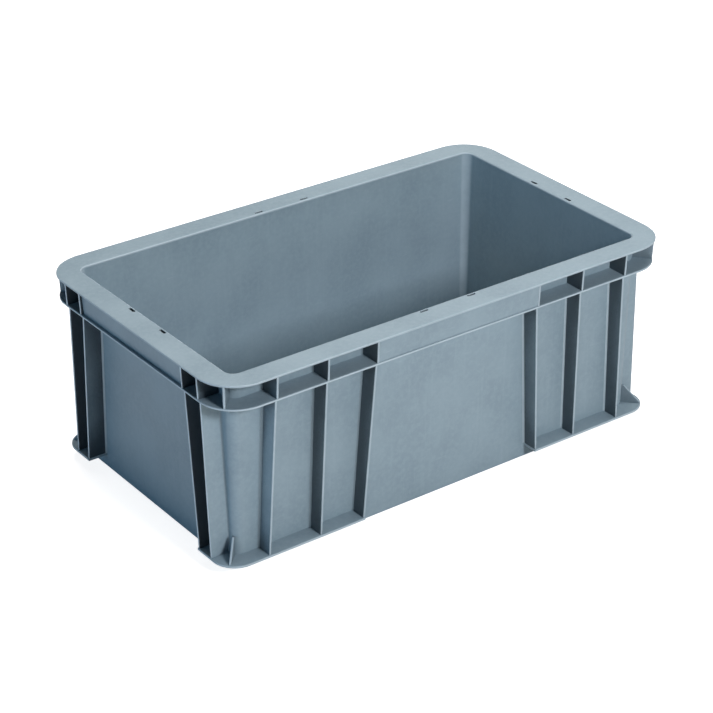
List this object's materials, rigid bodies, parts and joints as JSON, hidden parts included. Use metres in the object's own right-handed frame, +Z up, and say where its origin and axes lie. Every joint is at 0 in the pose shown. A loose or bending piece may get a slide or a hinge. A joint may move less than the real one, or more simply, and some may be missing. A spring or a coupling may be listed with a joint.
{
  "type": "stacking storage crate",
  "caption": "Open-topped ribbed plastic crate with a flanged rim, splayed side ribs and corner feet that rest on the rim of a crate below.",
  "frame": {"origin": "on the ground under the crate's centre", "axes": "+X along the long sides, +Y towards the rear long side, +Z up through the open mouth"},
  "size_m": [0.6, 0.356, 0.232],
  "materials": {
    "crate_plastic": "fine matt moulded polypropylene, blue-grey"
  },
  "bodies": {
    "root": {"base_ribs_cross": "crate_plastic", "base_ribs_long": "crate_plastic", "floor_cove": "crate_plastic", "floor_panel": "crate_plastic", "foot_fins": "crate_plastic", "foot_flange_front_left": "crate_plastic", "foot_flange_front_right": "crate_plastic", "foot_flange_rear_left": "crate_plastic", "foot_flange_rear_right": "crate_plastic", "ledge_webs": "crate_plastic", "rim_flange": "crate_plastic", "rim_gussets_corner": "crate_plastic", "rim_gussets_front": "crate_plastic", "rim_gussets_left": "crate_plastic", "rim_gussets_rear": "crate_plastic", "rim_gussets_right": "crate_plastic", "rim_ledge": "crate_plastic", "rim_skirt_front": "crate_plastic", "rim_skirt_left": "crate_plastic", "rim_skirt_rear": "crate_plastic", "rim_skirt_right": "crate_plastic", "wall_corner_front_left": "crate_plastic", "wall_corner_front_right": "crate_plastic", "wall_corner_rear_left": "crate_plastic", "wall_corner_rear_right": "crate_plastic", "wall_front": "crate_plastic", "wall_left": "crate_plastic", "wall_rear": "crate_plastic", "wall_ribs_front": "crate_plastic", "wall_ribs_left": "crate_plastic", "wall_ribs_rear": "crate_plastic", "wall_ribs_right": "crate_plastic", "wall_right": "crate_plastic"}
  },
  "joints": []
}
